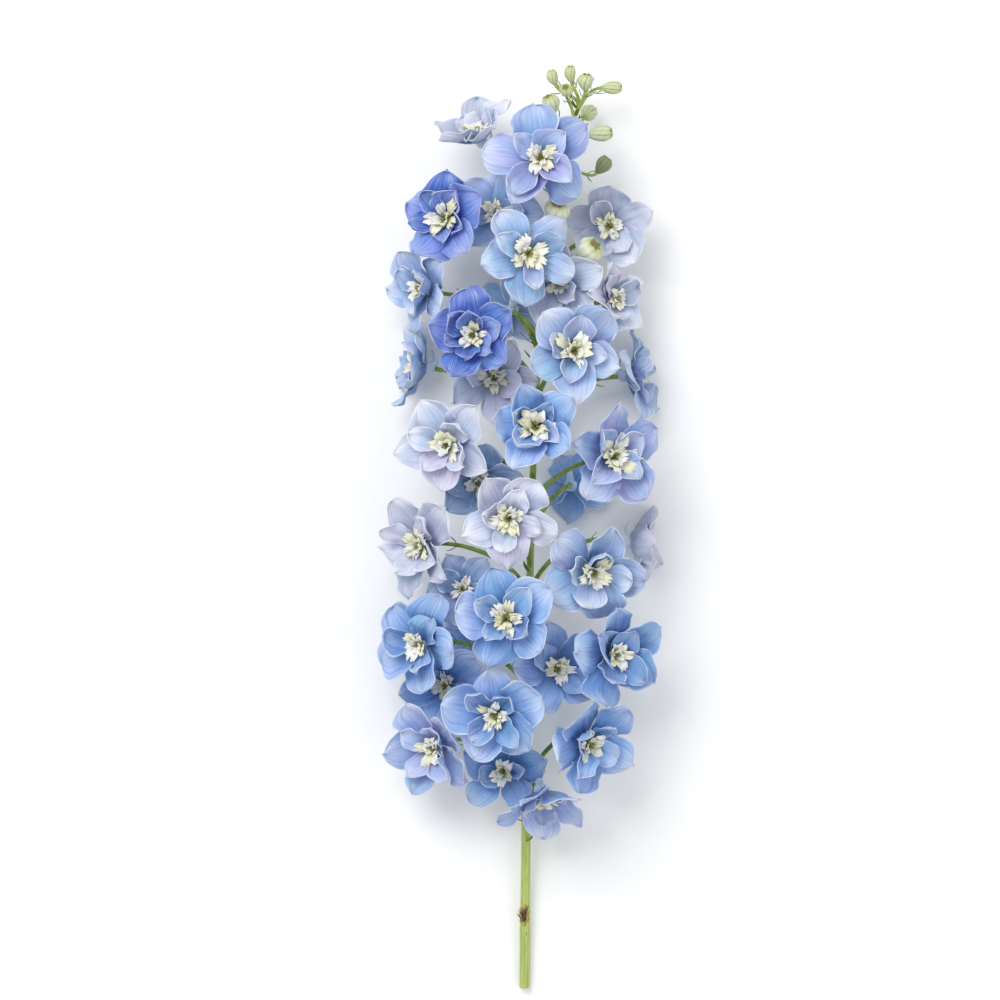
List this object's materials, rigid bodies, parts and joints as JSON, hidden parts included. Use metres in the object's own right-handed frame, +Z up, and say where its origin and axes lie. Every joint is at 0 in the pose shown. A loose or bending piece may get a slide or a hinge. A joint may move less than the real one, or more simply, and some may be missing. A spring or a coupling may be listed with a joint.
{
  "type": "delphinium flower spike",
  "caption": "Cut delphinium spike lying on its side: semi-double blue florets with cream centres on short stalks, a loose tip of green buds and a bare lower stem.",
  "frame": {"origin": "centre of the bounding box's footprint, on the surface that the cut spike lies on", "axes": "+Y along the spike towards its tip of buds, +Z up from the surface, +X to the right when the spike is seen from above with its tip away"},
  "size_m": [0.142, 0.4705, 0.0806],
  "materials": {
    "stem": "satin green skin with fine ridges",
    "buds": "satin, greenish white with green ribs",
    "petals_deep_blue": "soft matte petal, strong blue",
    "petals_sky_blue": "soft matte petal, sky blue with paler rims",
    "petals_pale_blue": "soft matte petal, pale blue with paler rims",
    "petals_lavender": "soft matte petal, blue with lavender and pink tints",
    "petals_lavender_white": "soft matte petal, lavender white",
    "bee": "matte cream, yellow-green at its foot"
  },
  "bodies": {
    "root": {"stem": "stem", "bud_cluster": "buds", "bud_1": "buds", "bud_2": "buds", "floret_01": "petals_lavender", "floret_02": "petals_deep_blue", "floret_03": "petals_pale_blue", "floret_04": "petals_deep_blue", "floret_05": "petals_pale_blue", "floret_06": "petals_sky_blue", "floret_07": "petals_lavender_white", "floret_08": "petals_lavender_white", "floret_09": "petals_lavender", "floret_10": "petals_sky_blue", "floret_11": "petals_pale_blue", "floret_12": "petals_sky_blue", "floret_13": "petals_sky_blue", "floret_14": "petals_sky_blue", "floret_15": "petals_lavender_white", "floret_16": "petals_sky_blue", "floret_17": "petals_lavender", "floret_18": "petals_lavender", "floret_19": "petals_pale_blue", "floret_20": "petals_pale_blue", "floret_21": "petals_lavender_white", "floret_22": "petals_pale_blue", "floret_23": "petals_sky_blue", "floret_24": "petals_sky_blue", "floret_25": "petals_pale_blue", "floret_26": "petals_lavender_white", "floret_27": "petals_lavender_white", "floret_28": "petals_pale_blue", "floret_29": "petals_pale_blue", "floret_30": "petals_lavender_white", "floret_31": "petals_lavender_white", "floret_32": "petals_pale_blue", "floret_33": "petals_sky_blue", "floret_34": "petals_sky_blue", "floret_35": "petals_sky_blue", "floret_36": "petals_lavender_white", "bee_01": "bee", "bee_02": "bee", "bee_03": "bee", "bee_04": "bee", "bee_05": "bee", "bee_06": "bee", "bee_07": "bee", "bee_08": "bee", "bee_09": "bee", "bee_10": "bee", "bee_11": "bee", "bee_12": "bee", "bee_13": "bee", "bee_14": "bee", "bee_15": "bee", "bee_16": "bee", "bee_17": "bee", "bee_18": "bee", "bee_25": "bee", "bee_26": "bee"}
  },
  "joints": []
}
